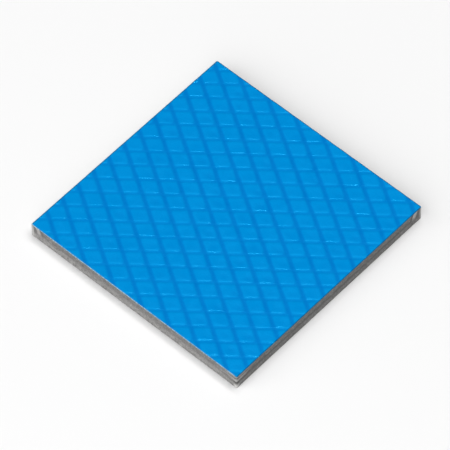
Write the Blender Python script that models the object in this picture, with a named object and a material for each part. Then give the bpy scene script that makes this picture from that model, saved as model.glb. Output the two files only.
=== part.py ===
"""Thermal pad sheet: a soft grey silicone slab under a blue release film embossed with diamonds.

Metres, +Z up. The sheet lies flat, with the centre of its underside at the origin.
"""
import math

import bmesh
import bpy
from mathutils import Vector

MM = 0.001

# Slab of gap filler
SIDE = 50.0 * MM
SLAB_THICKNESS = 3.34 * MM
CORNER_RADIUS = 0.25 * MM
SIDE_HOLLOW = 0.12 * MM
SIDE_LEVELS = 8
CORNER_FACETS = 6

# Release film on top of the slab
FILM_MARGIN = 0.10 * MM
FILM_SHIFT_X = 0.07 * MM
FILM_SHIFT_Y = 0.05 * MM
FILM_THICKNESS = 0.08 * MM
DIAMOND_HEIGHT = 0.08 * MM
DIAMOND_SLOPE = 0.30 * MM

# Wide grooves of the embossing, as straight parallel lines
WIDE_DIRECTION = math.radians(-31.0)
WIDE_PITCH = 3.52 * MM
WIDE_FLOOR = 0.55 * MM
WIDE_SHIFT = 0.95 * MM

# Narrow grooves, which cross the wide ones
NARROW_DIRECTION = math.radians(39.6)
NARROW_PITCH = 3.186 * MM
NARROW_FLOOR = 0.22 * MM
NARROW_SHIFT = 0.75 * MM

# Materials: colour, roughness, metallic
SILICONE_FINISH = ((0.225, 0.220, 0.214, 1.0), 0.78, 0.0)
FILM_FINISH = ((0.001, 0.275, 0.716, 1.0), 0.36, 0.0)

# Weld distance and the angle past which an edge shows as a crease
WELD = 0.002 * MM
CREASE_ANGLE = math.radians(17.0)


def clear_objects():
    for thing in list(bpy.data.objects):
        bpy.data.objects.remove(thing, do_unlink=True)


def make_material(name, finish):
    colour, roughness, metallic = finish
    material = bpy.data.materials.new(name)
    material.use_nodes = True
    shader = material.node_tree.nodes["Principled BSDF"]
    shader.inputs["Base Color"].default_value = colour
    shader.inputs["Roughness"].default_value = roughness
    shader.inputs["Metallic"].default_value = metallic
    material.diffuse_color = colour
    return material


def cut_line(bm, normal, distance, keep_inside=False):
    """Cut the whole mesh along one upright plane, and drop what lies outside it when asked."""
    bmesh.ops.bisect_plane(
        bm,
        geom=bm.verts[:] + bm.edges[:] + bm.faces[:],
        dist=WELD / 10,
        plane_co=normal * distance,
        plane_no=normal,
        clear_outer=keep_inside,
    )


def trim_to_outline(bm, side, middle):
    """Leave the square of this side round middle, its corners rounded by short tangent cuts."""
    straight = side / 2 - CORNER_RADIUS
    turns = 4 * CORNER_FACETS
    for turn in range(turns):
        angle = 2 * math.pi * turn / turns
        normal = Vector((math.cos(angle), math.sin(angle), 0.0))
        reach = straight * (abs(normal.x) + abs(normal.y)) + CORNER_RADIUS
        cut_line(bm, normal, normal.dot(middle) + reach, keep_inside=True)


def flat_plane(bm, half, height):
    bmesh.ops.create_grid(bm, x_segments=1, y_segments=1, size=half)
    bmesh.ops.translate(bm, verts=bm.verts[:], vec=(0.0, 0.0, height))


def shade(bm):
    bmesh.ops.recalc_face_normals(bm, faces=bm.faces[:])
    for face in bm.faces:
        face.smooth = True
    for edge in bm.edges:
        edge.smooth = edge.calc_face_angle(math.pi) < CREASE_ANGLE


def add_object(name, bm, material):
    mesh = bpy.data.meshes.new(name)
    bm.to_mesh(mesh)
    bm.free()
    mesh.materials.append(material)
    thing = bpy.data.objects.new(name, mesh)
    bpy.context.scene.collection.objects.link(thing)
    return thing


def hollow_at(share):
    """How far the cut face draws in at this share of the slab's thickness."""
    return SIDE_HOLLOW * (1.0 - (2.0 * share - 1.0) ** 2)


def make_slab(material):
    bm = bmesh.new()
    flat_plane(bm, SIDE, 0.0)
    trim_to_outline(bm, SIDE, Vector())
    ring = bm.edges[:]
    last_side = SIDE
    for level in range(1, SIDE_LEVELS + 1):
        side = SIDE - 2 * hollow_at(level / SIDE_LEVELS)
        raised = bmesh.ops.extrude_edge_only(bm, edges=ring)["geom"]
        corners = [item for item in raised if isinstance(item, bmesh.types.BMVert)]
        ring = [item for item in raised if isinstance(item, bmesh.types.BMEdge)]
        bmesh.ops.translate(bm, verts=corners, vec=(0.0, 0.0, SLAB_THICKNESS / SIDE_LEVELS))
        bmesh.ops.scale(bm, verts=corners, vec=(side / last_side, side / last_side, 1.0))
        last_side = side
    bmesh.ops.holes_fill(bm, edges=ring, sides=0)
    shade(bm)
    return add_object("thermal_pad", bm, material)


class Grooves:
    """One family of straight parallel grooves, each a flat floor between two diamonds' feet."""

    def __init__(self, direction, pitch, floor, shift):
        self.normal = Vector((-math.sin(direction), math.cos(direction), 0.0))
        self.pitch = pitch
        self.floor = floor
        self.shift = shift

    def cut(self, bm, reach):
        count = math.ceil((reach + abs(self.shift)) / self.pitch)
        for number in range(-count, count + 1):
            middle = self.shift + number * self.pitch
            cut_line(bm, self.normal, middle - self.floor / 2)
            cut_line(bm, self.normal, middle + self.floor / 2)

    def holds(self, point):
        """True where the point lies on a groove's floor."""
        across = (self.normal.dot(point) - self.shift) / self.pitch
        return abs(across - round(across)) * self.pitch < self.floor / 2


def make_film(material):
    floor_height = SLAB_THICKNESS + FILM_THICKNESS
    side = SIDE - 2 * FILM_MARGIN
    half = side / 2 + 2 * max(WIDE_PITCH, NARROW_PITCH)
    families = (
        Grooves(WIDE_DIRECTION, WIDE_PITCH, WIDE_FLOOR, WIDE_SHIFT),
        Grooves(NARROW_DIRECTION, NARROW_PITCH, NARROW_FLOOR, NARROW_SHIFT),
    )
    bm = bmesh.new()
    flat_plane(bm, half, floor_height)
    for family in families:
        family.cut(bm, half * math.sqrt(2.0))

    diamonds = []
    for face in bm.faces:
        middle = face.calc_center_median()
        if not any(family.holds(middle) for family in families):
            diamonds.append(face)
    bmesh.ops.inset_individual(bm, faces=diamonds, thickness=DIAMOND_SLOPE, use_even_offset=True)
    crowns = {corner for face in diamonds for corner in face.verts}
    bmesh.ops.translate(bm, verts=list(crowns), vec=(0.0, 0.0, DIAMOND_HEIGHT))

    trim_to_outline(bm, side, Vector((FILM_SHIFT_X, FILM_SHIFT_Y, 0.0)))
    bmesh.ops.remove_doubles(bm, verts=bm.verts[:], dist=WELD)
    bmesh.ops.dissolve_degenerate(bm, edges=bm.edges[:], dist=WELD)

    border = [edge for edge in bm.edges if edge.is_boundary]
    skirt = bmesh.ops.extrude_edge_only(bm, edges=border)["geom"]
    for item in skirt:
        if isinstance(item, bmesh.types.BMVert):
            item.co.z = SLAB_THICKNESS
    bmesh.ops.holes_fill(bm, edges=[edge for edge in bm.edges if edge.is_boundary], sides=0)
    shade(bm)
    return add_object("release_liner", bm, material)


def main():
    clear_objects()
    make_slab(make_material("grey_silicone", SILICONE_FINISH))
    make_film(make_material("blue_film", FILM_FINISH))


main()
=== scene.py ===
"""Looks of a thermal pad sheet: a grey silicone slab under a blue release film embossed with diamonds."""
import math

import bmesh
import bpy
from mathutils import Matrix, Vector, noise


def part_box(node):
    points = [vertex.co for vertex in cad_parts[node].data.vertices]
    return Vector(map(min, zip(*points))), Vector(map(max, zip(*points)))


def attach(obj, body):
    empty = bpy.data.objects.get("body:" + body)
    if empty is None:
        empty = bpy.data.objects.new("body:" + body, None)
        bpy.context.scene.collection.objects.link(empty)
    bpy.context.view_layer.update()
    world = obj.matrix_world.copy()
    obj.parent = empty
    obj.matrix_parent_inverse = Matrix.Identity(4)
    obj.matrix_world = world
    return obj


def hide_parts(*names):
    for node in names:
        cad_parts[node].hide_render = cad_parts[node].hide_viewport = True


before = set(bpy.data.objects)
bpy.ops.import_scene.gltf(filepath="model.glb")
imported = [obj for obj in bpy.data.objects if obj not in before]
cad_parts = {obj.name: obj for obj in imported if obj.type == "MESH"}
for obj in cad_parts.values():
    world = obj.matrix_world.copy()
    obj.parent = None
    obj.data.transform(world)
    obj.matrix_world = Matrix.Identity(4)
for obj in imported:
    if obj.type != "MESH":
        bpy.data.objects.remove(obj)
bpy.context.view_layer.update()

MM = 0.001

SLAB_LOW, SLAB_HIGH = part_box("thermal_pad")
FILM_LOW, FILM_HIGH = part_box("release_liner")

# Slab of gap filler
SIDE = SLAB_HIGH.x - SLAB_LOW.x
SLAB_THICKNESS = SLAB_HIGH.z - SLAB_LOW.z
CORNER_RADIUS = 0.25 * MM
CORNER_FACETS = 8
LONG_EDGE = 5.0 * MM
EDGE_STEP = 0.30 * MM
SLAB_LEVELS = 26
RIM_ROUND = 0.06 * MM
SLAB_SHARP_ANGLE = math.radians(60)

# Cut faces: hollow, waved by the knife, with one upright crease near each corner
SIDE_HOLLOW = 0.16 * MM
HOLLOW_START = 2.2 * MM
KNIFE_WAVE = 0.05 * MM
CREASE_PLACE = 1.10 * MM
CREASE_WANDER = 0.12 * MM
CREASE_WIDTH = 0.20 * MM
CREASE_DEPTH = 0.08 * MM

# Waves per metre on the cut faces, along the sheet and up its thickness
SLOW_WAVES = (260, 700)
DRAG_WAVES = (700, 2600)
CREASE_WAVES = (90, 900)
DRAG_OFFSET = Vector((7.0, 3.0, 1.0))

# Colours on the cut faces: two layers with a seam between them, the upper one darker partly as painted shade
# of the hollow face
LAYER_LOW = 0.40 * SLAB_THICKNESS
LAYER_HIGH = 0.54 * SLAB_THICKNESS
SEAM_HEIGHT = 0.44 * SLAB_THICKNESS
SEAM_FADE = 0.50 * MM
SEAM_CORE = 0.10 * MM

# Bands beside the left and right corners, where the sheet was squeezed: painted highlights and painted shade
# of its creases and rounded corners, and a pale strip of painted highlight on each corner
BANDS_REACH = 3.2 * MM
BANDS_FULL = 0.85 * BANDS_REACH
BANDS_LOW = 0.32 * SLAB_THICKNESS
BANDS_HIGH = 0.62 * SLAB_THICKNESS
BANDS_LEAN = 0.16
CORNER_HIGHLIGHT_FADE = 0.80 * MM
CORNER_HIGHLIGHT_CORE = 0.45 * MM

# Thin layers that bend down towards the front corner, partly painted light and shade of the waved cut, and a
# pale spot at its foot
STRATA_REACH = 4.5 * MM
STRATA_FULL = 0.8 * MM
DIP = 0.26 * MM
DIP_REACH = 2.0 * MM
DIP_FULL = 0.1 * MM
PALE_SPOT_REACH = 0.9 * MM
PALE_SPOT_FULL = 0.35 * MM
PALE_SPOT_TOP = 1.15 * MM
PALE_SPOT_CORE = 0.65 * MM

# Release film
FILM_SIDE = FILM_HIGH.x - FILM_LOW.x
FILM_MIDDLE = (FILM_LOW + FILM_HIGH) / 2
FILM_THICKNESS = 0.08 * MM
FILM_SPARE = 1.0 * MM
FILM_SHARP_ANGLE = math.radians(50)
# Darker band along the film's cut edges, all but the lit front-left one: partly the edge's own deeper blue,
# partly painted shade
CUT_EDGE_SHADE_FADE = 0.20 * MM
CUT_EDGE_SHADE_CORE = 0.03 * MM

# Embossing, from the groove's floor up to the diamonds, with depths as shares of the diamonds' height
GROOVE_FLOOR = SLAB_THICKNESS + FILM_THICKNESS
DIAMOND_HEIGHT = FILM_HIGH.z - FILM_LOW.z - FILM_THICKNESS
GROOVE_WANDER = 0.05 * MM
NARROW_WANDER_SHARE = 0.6
WANDER_WAVES = 800
CROWN_SHARES = (0.2, 0.4, 0.6, 0.8)
WIDE_DEPTH = 0.46
NARROW_DEPTH = 0.50
SHOULDER_DEPTH = 0.24
SHOULDER_SHARE = 0.36

# Rounding of the diamonds' acute corners
CORNER_DEPTH = 0.30
CORNER_START = 0.62 * MM
NEAR_CORNER_CUT = 0.58 * MM
FAR_CORNER_CUT = 0.40 * MM
CORNER_RUN = 0.50 * MM
WIDE_MIDDLE = 0.3 * MM
NARROW_MIDDLE = 0.2 * MM

# Dents in the diamonds: places and reach as shares of the pitches, depths as shares of the height
DENT_SHARE = 0.50
DENT_REACH = 0.17
DENT_COLUMN = 0.62
DENT_ROW = 0.42
DENT_SWAY = 0.10
CLEAR_DENT_OVER = 0.66
FAINT_DENT = 0.35
FAINT_DENT_RANGE = 0.2

# How strongly each form deepens the film's blue, the near halves of the diamonds as painted shade
NARROW_TINT = 0.52
CORNER_TINT = 0.66
DENT_TINT = 0.32
# Painted shade: the near half of each diamond's domed crown is darkened
NEAR_SHADE = 0.09
NEAR_SHADE_START = 0.35
NEAR_SHADE_RUN = 0.40
TINT_AND_SHADE_LAYER = "groove_tint"

# The two families of grooves. The shift is that of one groove's middle from the sheet's, the band is half the
# width that a groove darkens, and wall_lines says where the mesh has its lines on a wall
WIDE_GROOVES = {
    "direction": math.radians(-31.0),
    "pitch": 3.52 * MM,
    "floor": 0.10 * MM,
    "run": 0.76 * MM,
    "shift": 0.89 * MM,
    "band": 0.64 * MM,
    "fade": 0.55 * MM,
    "wall_lines": (0.0, 0.2, 0.4, 0.6, 0.8, 1.0),
}
NARROW_GROOVES = {
    "direction": math.radians(39.6),
    "pitch": 3.186 * MM,
    "floor": 0.06 * MM,
    "run": 0.52 * MM,
    "shift": 0.87 * MM,
    "band": 0.41 * MM,
    "fade": 0.39 * MM,
    "wall_lines": (0.0, 0.2, 0.4, 0.6, 0.7, 0.8, 0.9, 1.0),
}

WELD = 0.002 * MM
FLOOR_HALF = 1.5


# Modelling

def cut_line(bm, normal, distance, keep_inside=False):
    """Cut the whole mesh along one upright plane, and drop what lies outside it when asked."""
    bmesh.ops.bisect_plane(
        bm,
        geom=bm.verts[:] + bm.edges[:] + bm.faces[:],
        dist=WELD / 10,
        plane_co=normal * distance,
        plane_no=normal,
        clear_outer=keep_inside,
    )


def trim_to_outline(bm, side, middle):
    """Leave the square of this side round middle, its corners rounded by short tangent cuts."""
    straight = side / 2 - CORNER_RADIUS
    turns = 4 * CORNER_FACETS
    for turn in range(turns):
        angle = 2 * math.pi * turn / turns
        normal = Vector((math.cos(angle), math.sin(angle), 0.0))
        reach = straight * (abs(normal.x) + abs(normal.y)) + CORNER_RADIUS
        cut_line(bm, normal, normal.dot(middle) + reach, keep_inside=True)


def flat_plane(bm, half, height):
    bmesh.ops.create_grid(bm, x_segments=1, y_segments=1, size=half)
    bmesh.ops.translate(bm, verts=bm.verts[:], vec=(0.0, 0.0, height))


def finish_piece(name, bm, material, node, sharp_angle):
    """Shade the mesh, smooth up to this angle between faces, and put it in place of a CAD node."""
    bmesh.ops.recalc_face_normals(bm, faces=bm.faces[:])
    for face in bm.faces:
        face.smooth = True
    for edge in bm.edges:
        edge.smooth = edge.calc_face_angle(math.pi) < sharp_angle
    mesh = bpy.data.meshes.new(name)
    bm.to_mesh(mesh)
    bm.free()
    mesh.materials.append(material)
    piece = bpy.data.objects.new(name, mesh)
    bpy.context.scene.collection.objects.link(piece)
    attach(piece, "root")
    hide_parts(node)


# The slab

def rim_inset(height):
    """How far the rounded rims pull the outline in at this height."""
    from_rim = min(height, SLAB_THICKNESS - height)
    drop = 1.0 - min(from_rim / RIM_ROUND, 1.0)
    return RIM_ROUND * (1.0 - math.sqrt(1.0 - drop * drop))


def ring_size(height):
    """Size of the slab's ring at this height, as a share of the full outline."""
    return 1.0 - 2 * rim_inset(height) / SIDE


def ring_heights():
    """Heights of the slab's rings, closer together at both rims."""
    shares = [0.5 - 0.5 * math.cos(math.pi * n / SLAB_LEVELS) for n in range(1, SLAB_LEVELS + 1)]
    return [share * SLAB_THICKNESS for share in shares]


def knife_noise(spot, waves, offset=Vector()):
    """Smooth noise round 0 on a cut face, with its own density along the sheet and up its thickness."""
    along, up = waves
    return noise.noise(Vector((spot.x * along, spot.y * along, spot.z * up)) + offset)


def cut_depth(spot):
    """How far the knife's cut lies inside the outline at this spot of the slab's side."""
    share = spot.z / SLAB_THICKNESS
    along = SIDE / 2 - min(abs(spot.x), abs(spot.y))
    belly = 1.0 - (2.0 * share - 1.0) ** 2
    away = min(along / HOLLOW_START, 1.0) ** 2
    wander = CREASE_WANDER * knife_noise(spot, CREASE_WAVES)
    crease = math.exp(-(((along - CREASE_PLACE + wander) / CREASE_WIDTH) ** 2))
    slow = knife_noise(spot, SLOW_WAVES)
    drag = knife_noise(spot, DRAG_WAVES, DRAG_OFFSET)
    wave = KNIFE_WAVE * (0.5 + 0.35 * slow + 0.25 * drag)
    return SIDE_HOLLOW * belly * away + wave * (0.3 + 0.7 * away) + CREASE_DEPTH * crease * math.sqrt(belly)


def raise_rings(bm):
    """Build the slab's wall ring by ring on the outline, and close it at the top."""
    ring = [edge for edge in bm.edges if edge.is_boundary]
    size = ring_size(0.0)
    bmesh.ops.scale(bm, verts=bm.verts[:], vec=(size, size, 1.0))
    last = 0.0
    for height in ring_heights():
        raised = bmesh.ops.extrude_edge_only(bm, edges=ring)["geom"]
        corners = [item for item in raised if isinstance(item, bmesh.types.BMVert)]
        ring = [item for item in raised if isinstance(item, bmesh.types.BMEdge)]
        change = ring_size(height) / size
        bmesh.ops.translate(bm, verts=corners, vec=(0.0, 0.0, height - last))
        bmesh.ops.scale(bm, verts=corners, vec=(change, change, 1.0))
        size *= change
        last = height
    bmesh.ops.holes_fill(bm, edges=ring, sides=0)


def make_slab(material):
    bm = bmesh.new()
    flat_plane(bm, SIDE, 0.0)
    trim_to_outline(bm, SIDE, Vector())
    long_edges = [edge for edge in bm.edges if edge.calc_length() > LONG_EDGE]
    bmesh.ops.subdivide_edges(bm, edges=long_edges, cuts=round(SIDE / EDGE_STEP))
    raise_rings(bm)

    for vertex in bm.verts:
        spot = vertex.co
        if WELD < spot.z < SLAB_THICKNESS - WELD:
            outward = Vector((spot.x, 0.0, 0.0)) if abs(spot.x) > abs(spot.y) else Vector((0.0, spot.y, 0.0))
            vertex.co = spot - outward.normalized() * cut_depth(spot)
    finish_piece("grey_slab", bm, material, "thermal_pad", SLAB_SHARP_ANGLE)


# The film

def ease(share):
    """A smooth step from 0 to 1."""
    held = min(max(share, 0.0), 1.0)
    return held * held * (3.0 - 2.0 * held)


def join(*parts):
    """The deepest of several drops, rounded off where two of them meet."""
    return sum(part ** 3 for part in parts) ** (1 / 3)


class Grooves:
    """One family of straight parallel grooves: a narrow floor between two walls that round off upwards."""

    def __init__(self, direction, pitch, floor, run, shift, band, fade, wall_lines):
        self.normal = Vector((-math.sin(direction), math.cos(direction), 0.0))
        self.pitch = pitch
        self.foot = floor / 2
        self.run = run
        self.shift = shift
        self.band = band
        self.fade = fade
        self.wall_lines = wall_lines

    def stops(self, reach):
        """Where the mesh has its lines, across all the grooves within this reach."""
        rise = [self.foot + self.run * share for share in self.wall_lines]
        crown = self.pitch - 2 * rise[-1]
        flat = [rise[-1] + crown * share for share in CROWN_SHARES]
        fall = [self.pitch - offset for offset in reversed(rise)]
        count = math.ceil((reach + abs(self.shift)) / self.pitch)
        starts = [self.shift + number * self.pitch for number in range(-count, count)]
        return [start + offset for start in starts for offset in rise + flat + fall]

    def steps(self, point):
        """Position across the family in pitches, whole numbers in the grooves' middles."""
        return (self.normal.dot(point) - self.shift) / self.pitch

    def across(self, steps):
        """Distance from the nearest groove's middle, below zero on a diamond's far side."""
        return (steps - round(steps)) * self.pitch

    def drop(self, across):
        """0 on the crown, 1 on the groove's floor."""
        return min(max(1.0 - (abs(across) - self.foot) / self.run, 0.0), 1.0)

    def tint(self, across):
        """How strongly the groove darkens the film here, from 0 to 1."""
        return ease((self.band - abs(across)) / self.fade)


def crossing(first, first_stop, second, second_stop):
    """The point that lies this far across both families."""
    a, b = first.normal, second.normal
    turn = a.x * b.y - a.y * b.x
    x = (first_stop * b.y - second_stop * a.y) / turn
    y = (second_stop * a.x - first_stop * b.x) / turn
    return Vector((x, y, 0.0))


def diamond_chance(column, row, seed):
    """A number between -1 and 1 that belongs to this diamond, the same in every run."""
    return noise.cell(Vector((column + 0.5, row + 0.5, seed)))


def dent(wide_steps, narrow_steps):
    """How far the film sinks here into the air under its diamond. One diamond in six has a clear dent."""
    column, row = math.floor(wide_steps), math.floor(narrow_steps)
    chance = diamond_chance(column, row, 3.5)
    sway = DENT_SWAY * diamond_chance(column, row, 9.5)
    across = wide_steps - column - DENT_COLUMN - sway
    along = narrow_steps - row - DENT_ROW + sway
    share = 1.0 if chance > CLEAR_DENT_OVER else FAINT_DENT + FAINT_DENT_RANGE * chance
    return share * DENT_SHARE * math.exp(-(across * across + along * along) / (2 * DENT_REACH * DENT_REACH))


def acute_corner(wide_across, narrow_across):
    """1 where a diamond's acute corner is rounded off, 0 inside it and in the middle of both grooves."""
    if wide_across * narrow_across > 0.0:
        return 0.0
    cut = NEAR_CORNER_CUT if narrow_across > 0.0 else FAR_CORNER_CUT
    inward = abs(wide_across) + abs(narrow_across) - CORNER_START - cut
    off_middle = ease(abs(wide_across) / WIDE_MIDDLE) * ease(abs(narrow_across) / NARROW_MIDDLE)
    return ease(0.5 - inward / CORNER_RUN) * off_middle


def narrow_wall(drop, near_side):
    """A narrow groove's wall: a crisp shoulder on a diamond's near side, a soft slope on its far side."""
    if near_side:
        return SHOULDER_DEPTH * ease(drop / SHOULDER_SHARE) + (NARROW_DEPTH - SHOULDER_DEPTH) * drop
    return NARROW_DEPTH * ease(drop)


def relief(spot, wide, narrow):
    """Height of the film here, from 0 in the deepest spot to 1 on a diamond, and its groove tint, which also
    carries painted shade on the diamonds' near halves.
    """
    sway = GROOVE_WANDER * noise.noise(spot * WANDER_WAVES)
    wide_steps = wide.steps(spot) + sway / wide.pitch
    narrow_steps = narrow.steps(spot) + NARROW_WANDER_SHARE * sway / narrow.pitch
    wide_across, narrow_across = wide.across(wide_steps), narrow.across(narrow_steps)
    corner = acute_corner(wide_across, narrow_across)
    drop = join(
        WIDE_DEPTH * ease(wide.drop(wide_across)),
        narrow_wall(narrow.drop(narrow_across), narrow_across > 0.0),
        CORNER_DEPTH * corner,
    )
    sunk = dent(wide_steps, narrow_steps)
    row_share = narrow_steps - math.floor(narrow_steps)
    tint = join(wide.tint(wide_across), NARROW_TINT * narrow.tint(narrow_across), CORNER_TINT * corner)
    tint += DENT_TINT * sunk / DENT_SHARE
    # Painted shade on the near half of each diamond
    tint += NEAR_SHADE * (1.0 - ease((row_share - NEAR_SHADE_START) / NEAR_SHADE_RUN))
    return (1.0 - min(drop, 1.0)) * (1.0 - sunk), min(tint, 1.0)


def emboss(bm):
    """A grid that follows both families of grooves, a little larger than the film, raised to its relief."""
    wide, narrow = Grooves(**WIDE_GROOVES), Grooves(**NARROW_GROOVES)
    reach = FILM_SIDE * math.sqrt(0.5)
    across, along = wide.stops(reach), narrow.stops(reach)
    bmesh.ops.create_grid(bm, x_segments=len(across) - 1, y_segments=len(along) - 1, size=1.0)
    for vertex in bm.verts:
        column = round((vertex.co.x + 1.0) / 2 * (len(across) - 1))
        row = round((vertex.co.y + 1.0) / 2 * (len(along) - 1))
        vertex.co = crossing(wide, across[column], narrow, along[row])
    limit = FILM_SIDE / 2 + FILM_SPARE
    beyond = [vertex for vertex in bm.verts if max(abs(vertex.co.x), abs(vertex.co.y)) > limit]
    bmesh.ops.delete(bm, geom=beyond, context="VERTS")
    tint_layer = bm.verts.layers.float.new(TINT_AND_SHADE_LAYER)
    for vertex in bm.verts:
        raised, vertex[tint_layer] = relief(vertex.co, wide, narrow)
        vertex.co.z = GROOVE_FLOOR + DIAMOND_HEIGHT * raised


def make_film(material):
    bm = bmesh.new()
    emboss(bm)
    trim_to_outline(bm, FILM_SIDE, FILM_MIDDLE)
    bmesh.ops.remove_doubles(bm, verts=bm.verts[:], dist=WELD)
    bmesh.ops.dissolve_degenerate(bm, edges=bm.edges[:], dist=WELD)
    border = [edge for edge in bm.edges if edge.is_boundary]
    skirt = bmesh.ops.extrude_edge_only(bm, edges=border)["geom"]
    for item in skirt:
        if isinstance(item, bmesh.types.BMVert):
            item.co.z = SLAB_THICKNESS
    bmesh.ops.holes_fill(bm, edges=[edge for edge in bm.edges if edge.is_boundary], sides=0)
    finish_piece("blue_release_film", bm, material, "release_liner", FILM_SHARP_ANGLE)


# Materials

class Value:
    """Wraps a shader socket, so that sums on it add their Math nodes."""

    def __init__(self, finish, socket):
        self.finish = finish
        self.socket = socket

    def sum(self, operation, *terms):
        return self.finish.node("ShaderNodeMath", {"operation": operation}, dict(enumerate(terms))).out()

    def __add__(self, other):
        return self.sum("ADD", self, other)

    __radd__ = __add__

    def __sub__(self, other):
        return self.sum("SUBTRACT", self, other)

    def __rsub__(self, other):
        return self.sum("SUBTRACT", other, self)

    def __mul__(self, other):
        return self.sum("MULTIPLY", self, other)

    __rmul__ = __mul__

    def __abs__(self):
        return self.sum("ABSOLUTE", self)

    def lesser(self, other):
        return self.sum("MINIMUM", self, other)


class Node:
    """Wraps a shader node, so that its outputs come as Values."""

    def __init__(self, finish, node):
        self.finish = finish
        self.node = node

    def out(self, name=0):
        return Value(self.finish, self.node.outputs[name])


class Finish:
    """One material. node() adds any node: its settings are set first, then its sockets."""

    def __init__(self, name):
        self.material = bpy.data.materials.new(name)
        self.material.use_nodes = True
        self.tree = self.material.node_tree
        self.shader = self.tree.nodes["Principled BSDF"]

    def node(self, kind, settings, sockets):
        node = self.tree.nodes.new(kind)
        for name, value in settings.items():
            if name == "stops":
                self.set_stops(node.color_ramp, value)
            else:
                setattr(node, name, value)
        self.plug(node, sockets)
        return Node(self, node)

    def set_stops(self, ramp, stops):
        while len(ramp.elements) < len(stops):
            ramp.elements.new(0.5)
        for element, (position, colour) in zip(ramp.elements, stops):
            element.position = position
            element.color = colour

    def plug(self, node, sockets):
        for name, value in sockets.items():
            if isinstance(value, Value):
                self.tree.links.new(value.socket, node.inputs[name])
            else:
                node.inputs[name].default_value = value

    def place(self):
        return self.node("ShaderNodeTexCoord", {}, {}).out("Object")

    def axes(self, place):
        split = self.node("ShaderNodeSeparateXYZ", {}, {0: place})
        return split.out("X"), split.out("Y"), split.out("Z")

    def stretched(self, place, scale):
        return self.node("ShaderNodeMapping", {}, {"Vector": place, "Scale": scale}).out()

    def grain(self, place, scale, detail=3.0, roughness=0.55, distortion=0.0):
        sockets = {
            "Vector": place,
            "Scale": scale,
            "Detail": detail,
            "Roughness": roughness,
            "Distortion": distortion,
        }
        return self.node("ShaderNodeTexNoise", {}, sockets).out()

    def ramp(self, value, stops):
        return self.node("ShaderNodeValToRGB", {"stops": stops}, {"Fac": value}).out()

    def span(self, value, low, high):
        """0 at low, 1 at high, held beyond them."""
        return self.node("ShaderNodeMapRange", {}, {"Value": value, "From Min": low, "From Max": high}).out()

    def blend(self, share, first, second):
        return self.node("ShaderNodeMix", {"data_type": "RGBA"}, {0: share, 6: first, 7: second}).out(2)

    def bump(self, height, strength, distance):
        sockets = {"Height": height, "Strength": strength, "Distance": distance}
        return self.node("ShaderNodeBump", {}, sockets).out()


def grey(level):
    return (level, level * 0.985, level * 0.965, 1.0)


def blue(green, full):
    """A blue without any red."""
    return (0.0, green, full, 1.0)


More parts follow.
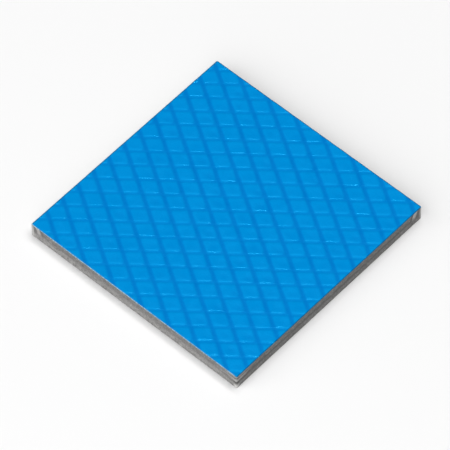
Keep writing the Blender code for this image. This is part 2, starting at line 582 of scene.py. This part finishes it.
class Rubber(Finish):
    """Grey rubber full of ceramic powder, with the patterns that its layers and marks share."""

    def __init__(self, name):
        super().__init__(name)
        place = self.place()
        x, y, self.height = self.axes(place)
        self.mottle = self.grain(place, 1900.0, detail=3.0, roughness=0.6)
        self.flecks = self.grain(place, 3300.0, detail=2.0, roughness=0.6)
        self.drag = self.grain(self.stretched(place, (0.45, 0.45, 1.5)), 1500.0, detail=2.0, distortion=0.4)
        streaks = self.grain(self.stretched(place, (1.0, 1.0, 0.12)), 2300.0, detail=2.0)
        self.streak_shift = (streaks - 0.5) * (0.7 * MM)
        self.from_corner = SIDE / 2 - abs(x).lesser(abs(y))
        self.side_corner = self.span(x * y, 0.0, 1e-6)
        self.front_corner = 1.0 - self.side_corner
        # Mask of the right face, the side away from the light: the layers, seam, bands, strata and rim below
        # are painted darker on it as painted shade
        self.shaded_right_face = self.span(x, SIDE / 2 - 1.0 * MM, SIDE / 2 - 0.5 * MM)

    def ragged(self, height, drag_share, mottle_share):
        """This height, shifted up and down by the drag marks and the mottle."""
        return height + (self.drag - 0.5) * drag_share + (self.mottle - 0.5) * mottle_share

    def layers(self):
        """A paler lower layer and a darker upper one, partly painted shade of a hollow face whose upper half
        turns down, with a dark seam. The right face is painted darker as shade, and the seam shows most there.
        """
        tone = self.mottle * 0.35 + self.flecks * 0.40 + self.drag * 0.25
        lower = self.ramp(tone, [
            (0.36, grey(0.140)),
            (0.47, grey(0.235)),
            (0.55, grey(0.300)),
            (0.64, grey(0.430)),
        ])
        upper = self.ramp(tone, [
            (0.36, grey(0.080)),
            (0.47, grey(0.155)),
            (0.55, grey(0.205)),
            (0.64, grey(0.320)),
        ])
        wavy = self.ragged(self.height, 0.9 * MM, 0.5 * MM)
        below = 1.0 - self.span(wavy, LAYER_LOW, LAYER_HIGH)
        # Painted shade: less of the pale lower layer on the right face
        body = self.blend(below * (1.0 - self.shaded_right_face * 0.8), upper, lower)
        seam = self.span(abs(wavy - SEAM_HEIGHT), SEAM_FADE, SEAM_CORE)
        return self.blend(seam * (0.15 + self.shaded_right_face * 0.45), body, grey(0.060))

    def side_bands(self, body):
        """Upright bands of painted highlight and painted shade beside the left and right corners, and a pale
        strip of painted highlight on each corner.
        """
        leaning = self.from_corner + (self.height - SLAB_THICKNESS / 2) * BANDS_LEAN + self.streak_shift
        # Painted light and shade: pale streaks where the rounded corners catch the light, dark bands in the
        # creases
        bands = self.ramp(leaning * (1.0 / BANDS_REACH), [
            (0.00, grey(0.560)),
            (0.17, grey(0.480)),
            (0.25, grey(0.140)),
            (0.40, grey(0.110)),
            (0.50, grey(0.460)),
            (0.68, grey(0.480)),
            (0.78, grey(0.080)),
            (0.88, grey(0.080)),
            (1.00, grey(0.200)),
        ])
        beside = self.span(self.from_corner, BANDS_REACH, BANDS_FULL) * self.side_corner
        high = self.span(self.height + (self.drag - 0.5) * (1.8 * MM), BANDS_LOW, BANDS_HIGH)
        body = self.blend(beside * high * (0.62 + 0.28 * self.shaded_right_face), body, bands)
        # Painted highlight: a pale strip along each side corner, paler on the lit left face
        corner_highlight = self.span(self.from_corner + self.streak_shift, CORNER_HIGHLIGHT_FADE, CORNER_HIGHLIGHT_CORE) * self.side_corner
        return self.blend(corner_highlight * (0.60 - 0.27 * self.shaded_right_face), body, grey(0.500))

    def front_strata(self, body):
        """Thin layers that bend down towards the front corner, partly painted light and shade of the waved
        cut, and a pale spot at its foot.
        """
        near = self.span(self.from_corner, DIP_REACH, DIP_FULL)
        dipping = self.ragged(self.height - near * near * DIP, 1.2 * MM, 0.6 * MM)
        # Pale and dark bands, partly layers in the rubber and partly painted light and shade of the waved cut
        strata = self.ramp(dipping * (1.0 / SLAB_THICKNESS), [
            (0.04, grey(0.160)),
            (0.20, grey(0.300)),
            (0.30, grey(0.220)),
            (0.38, grey(0.080)),
            (0.46, grey(0.085)),
            (0.54, grey(0.340)),
            (0.65, grey(0.460)),
            (0.75, grey(0.120)),
            (0.80, grey(0.130)),
            (0.88, grey(0.400)),
            (1.00, grey(0.220)),
        ])
        layered = self.span(self.from_corner, STRATA_REACH, STRATA_FULL) * self.front_corner
        body = self.blend(layered * (0.58 + 0.26 * self.shaded_right_face), body, strata)
        # A pale spot low on the front corner
        pale_spot = self.span(self.from_corner, PALE_SPOT_REACH, PALE_SPOT_FULL) * self.span(self.height, PALE_SPOT_TOP, PALE_SPOT_CORE)
        return self.blend(pale_spot * self.front_corner, body, grey(0.60))

    def ledge(self, body):
        """The slab's rim round the film, tinged blue by it: a pale line of painted highlight on the lit faces,
        and painted shade on the right face.
        """
        rim = self.span(self.height, SLAB_THICKNESS - RIM_ROUND, SLAB_THICKNESS - 0.01 * MM)
        rim_light_and_shade = self.ramp(self.flecks, [(0.40, (0.16, 0.29, 0.36, 1.0)), (0.58, (0.36, 0.56, 0.66, 1.0))])
        rim_light_and_shade = self.blend(self.shaded_right_face * 0.7, rim_light_and_shade, (0.04, 0.12, 0.19, 1.0))
        return self.blend(rim, body, rim_light_and_shade)


def silicone_finish():
    """Dull grey rubber: paler below and darker above, partly as painted shade, with painted light and shade at
    the corners.
    """
    rubber = Rubber("ceramic_filled_silicone")
    body = rubber.front_strata(rubber.side_bands(rubber.layers()))
    rubber.plug(rubber.shader, {
        "Base Color": rubber.ledge(body),
        "Roughness": 0.62 + rubber.flecks * 0.2,
        "Normal": rubber.bump(rubber.flecks * 0.6 + rubber.mottle * 0.4, 0.5, 0.06 * MM),
        "Specular IOR Level": 0.35,
    })
    return rubber.material


def film_finish():
    """Translucent blue film: deeper blue in the grooves, glossy in patches, with painted shade on the
    diamonds' near halves and along the cut edges away from the light.
    """
    finish = Finish("blue_embossed_film")
    place = finish.place()
    x, y = finish.axes(place)[:2]
    tint = finish.node("ShaderNodeAttribute", {"attribute_name": TINT_AND_SHADE_LAYER}, {}).out("Fac")
    patches = finish.grain(place, 330.0, detail=1.0)
    cloud = finish.grain(place, 700.0, detail=3.0, roughness=0.55)
    haze = finish.grain(place, 3100.0, detail=2.0, roughness=0.5)
    crown = finish.blend(cloud, blue(0.233, 0.608), blue(0.270, 0.668))
    groove = finish.blend(cloud, blue(0.170, 0.520), blue(0.192, 0.565))
    body = finish.blend(tint, crown, groove)
    half = FILM_SIDE / 2
    from_edge = (half - abs(x - FILM_MIDDLE.x)).lesser(half + FILM_MIDDLE.y - y)
    # Painted shade along the cut edges on the right and far sides, over the edge's own deeper blue
    cut_edge_shade = finish.span(from_edge, CUT_EDGE_SHADE_FADE, CUT_EDGE_SHADE_CORE)
    finish.plug(finish.shader, {
        "Base Color": finish.blend(cut_edge_shade, body, blue(0.085, 0.190)),
        "Roughness": 0.095 + finish.span(patches, 0.38, 0.56) * 0.19 + tint * 0.10,
        "Normal": finish.bump(haze, 0.42, 0.04 * MM),
        "Specular IOR Level": 0.22,
        "Specular Tint": (0.0, 0.62, 1.0, 1.0),
    })
    return finish.material


def floor_finish():
    finish = Finish("pale_floor")
    cloud = finish.grain(finish.place(), 6.0, detail=2.0)
    finish.plug(finish.shader, {
        "Base Color": finish.blend(cloud, (0.86, 0.86, 0.86, 1.0), (0.88, 0.88, 0.88, 1.0)),
        "Roughness": 0.9,
        "Specular IOR Level": 0.1,
    })
    return finish.material


# Floor, lights and camera

def lay_floor():
    bm = bmesh.new()
    flat_plane(bm, FLOOR_HALF, 0.0)
    mesh = bpy.data.meshes.new("floor")
    bm.to_mesh(mesh)
    bm.free()
    mesh.materials.append(floor_finish())
    floor = bpy.data.objects.new("floor", mesh)
    bpy.context.scene.collection.objects.link(floor)


def bearing(azimuth, elevation):
    """The direction from the sheet to a spot. Azimuth 0 is in front (-Y), 90 degrees to the right (+X)."""
    return Vector((
        math.sin(azimuth) * math.cos(elevation),
        -math.cos(azimuth) * math.cos(elevation),
        math.sin(elevation),
    ))


def softbox(name, azimuth, elevation, distance, width, height, power):
    """An area light aimed at the sheet, with its angles in degrees and its power in watts."""
    spot = distance * bearing(math.radians(azimuth), math.radians(elevation))
    lamp = bpy.data.lights.new(name, "AREA")
    lamp.shape = "RECTANGLE"
    lamp.size = width
    lamp.size_y = height
    lamp.energy = power
    light = bpy.data.objects.new(name, lamp)
    light.rotation_euler = (-spot).to_track_quat("-Z", "Y").to_euler()
    light.location = spot
    bpy.context.scene.collection.objects.link(light)


def light_studio():
    """A small box behind for the glints on the diamonds, one above, and a large soft one in front."""
    world = bpy.data.worlds.new("studio")
    world.use_nodes = True
    background = world.node_tree.nodes["Background"]
    background.inputs["Color"].default_value = (1.0, 1.0, 1.0, 1.0)
    background.inputs["Strength"].default_value = 0.08
    bpy.context.scene.world = world
    softbox("glint", azimuth=222.4, elevation=66.4, distance=1.8, width=0.20, height=0.10, power=2.75)
    softbox("top", azimuth=150.0, elevation=77.5, distance=1.0, width=0.60, height=0.55, power=6.0)
    softbox("front", azimuth=-2.0, elevation=34.0, distance=1.1, width=2.20, height=1.40, power=17.0)


def set_camera():
    """A long lens, from the front right, 54 degrees above the floor."""
    azimuth, elevation, roll = math.radians(42.36), math.radians(54.38), math.radians(-0.33)
    distance, right_shift, up_shift = 17.565 * FILM_SIDE, 0.0072 * FILM_SIDE, 0.0359 * FILM_SIDE
    back = bearing(azimuth, elevation)
    level = Vector((math.cos(azimuth), math.sin(azimuth), 0.0))
    upright = back.cross(level)
    right = level * math.cos(roll) + upright * math.sin(roll)
    up = upright * math.cos(roll) - level * math.sin(roll)
    target = Vector((FILM_MIDDLE.x, FILM_MIDDLE.y, FILM_HIGH.z))
    spot = target + back * distance - right * right_shift - up * up_shift
    lens = bpy.data.cameras.new("camera")
    lens.sensor_width = 36.0
    lens.lens = 387.46
    lens.clip_start = 0.05
    lens.clip_end = 10.0
    camera = bpy.data.objects.new("camera", lens)
    camera.matrix_world = Matrix.Translation(spot) @ Matrix((right, up, back)).transposed().to_4x4()
    bpy.context.scene.collection.objects.link(camera)
    bpy.context.scene.camera = camera


make_slab(silicone_finish())
make_film(film_finish())
lay_floor()
light_studio()
set_camera()
bpy.context.scene.view_settings.view_transform = "Standard"
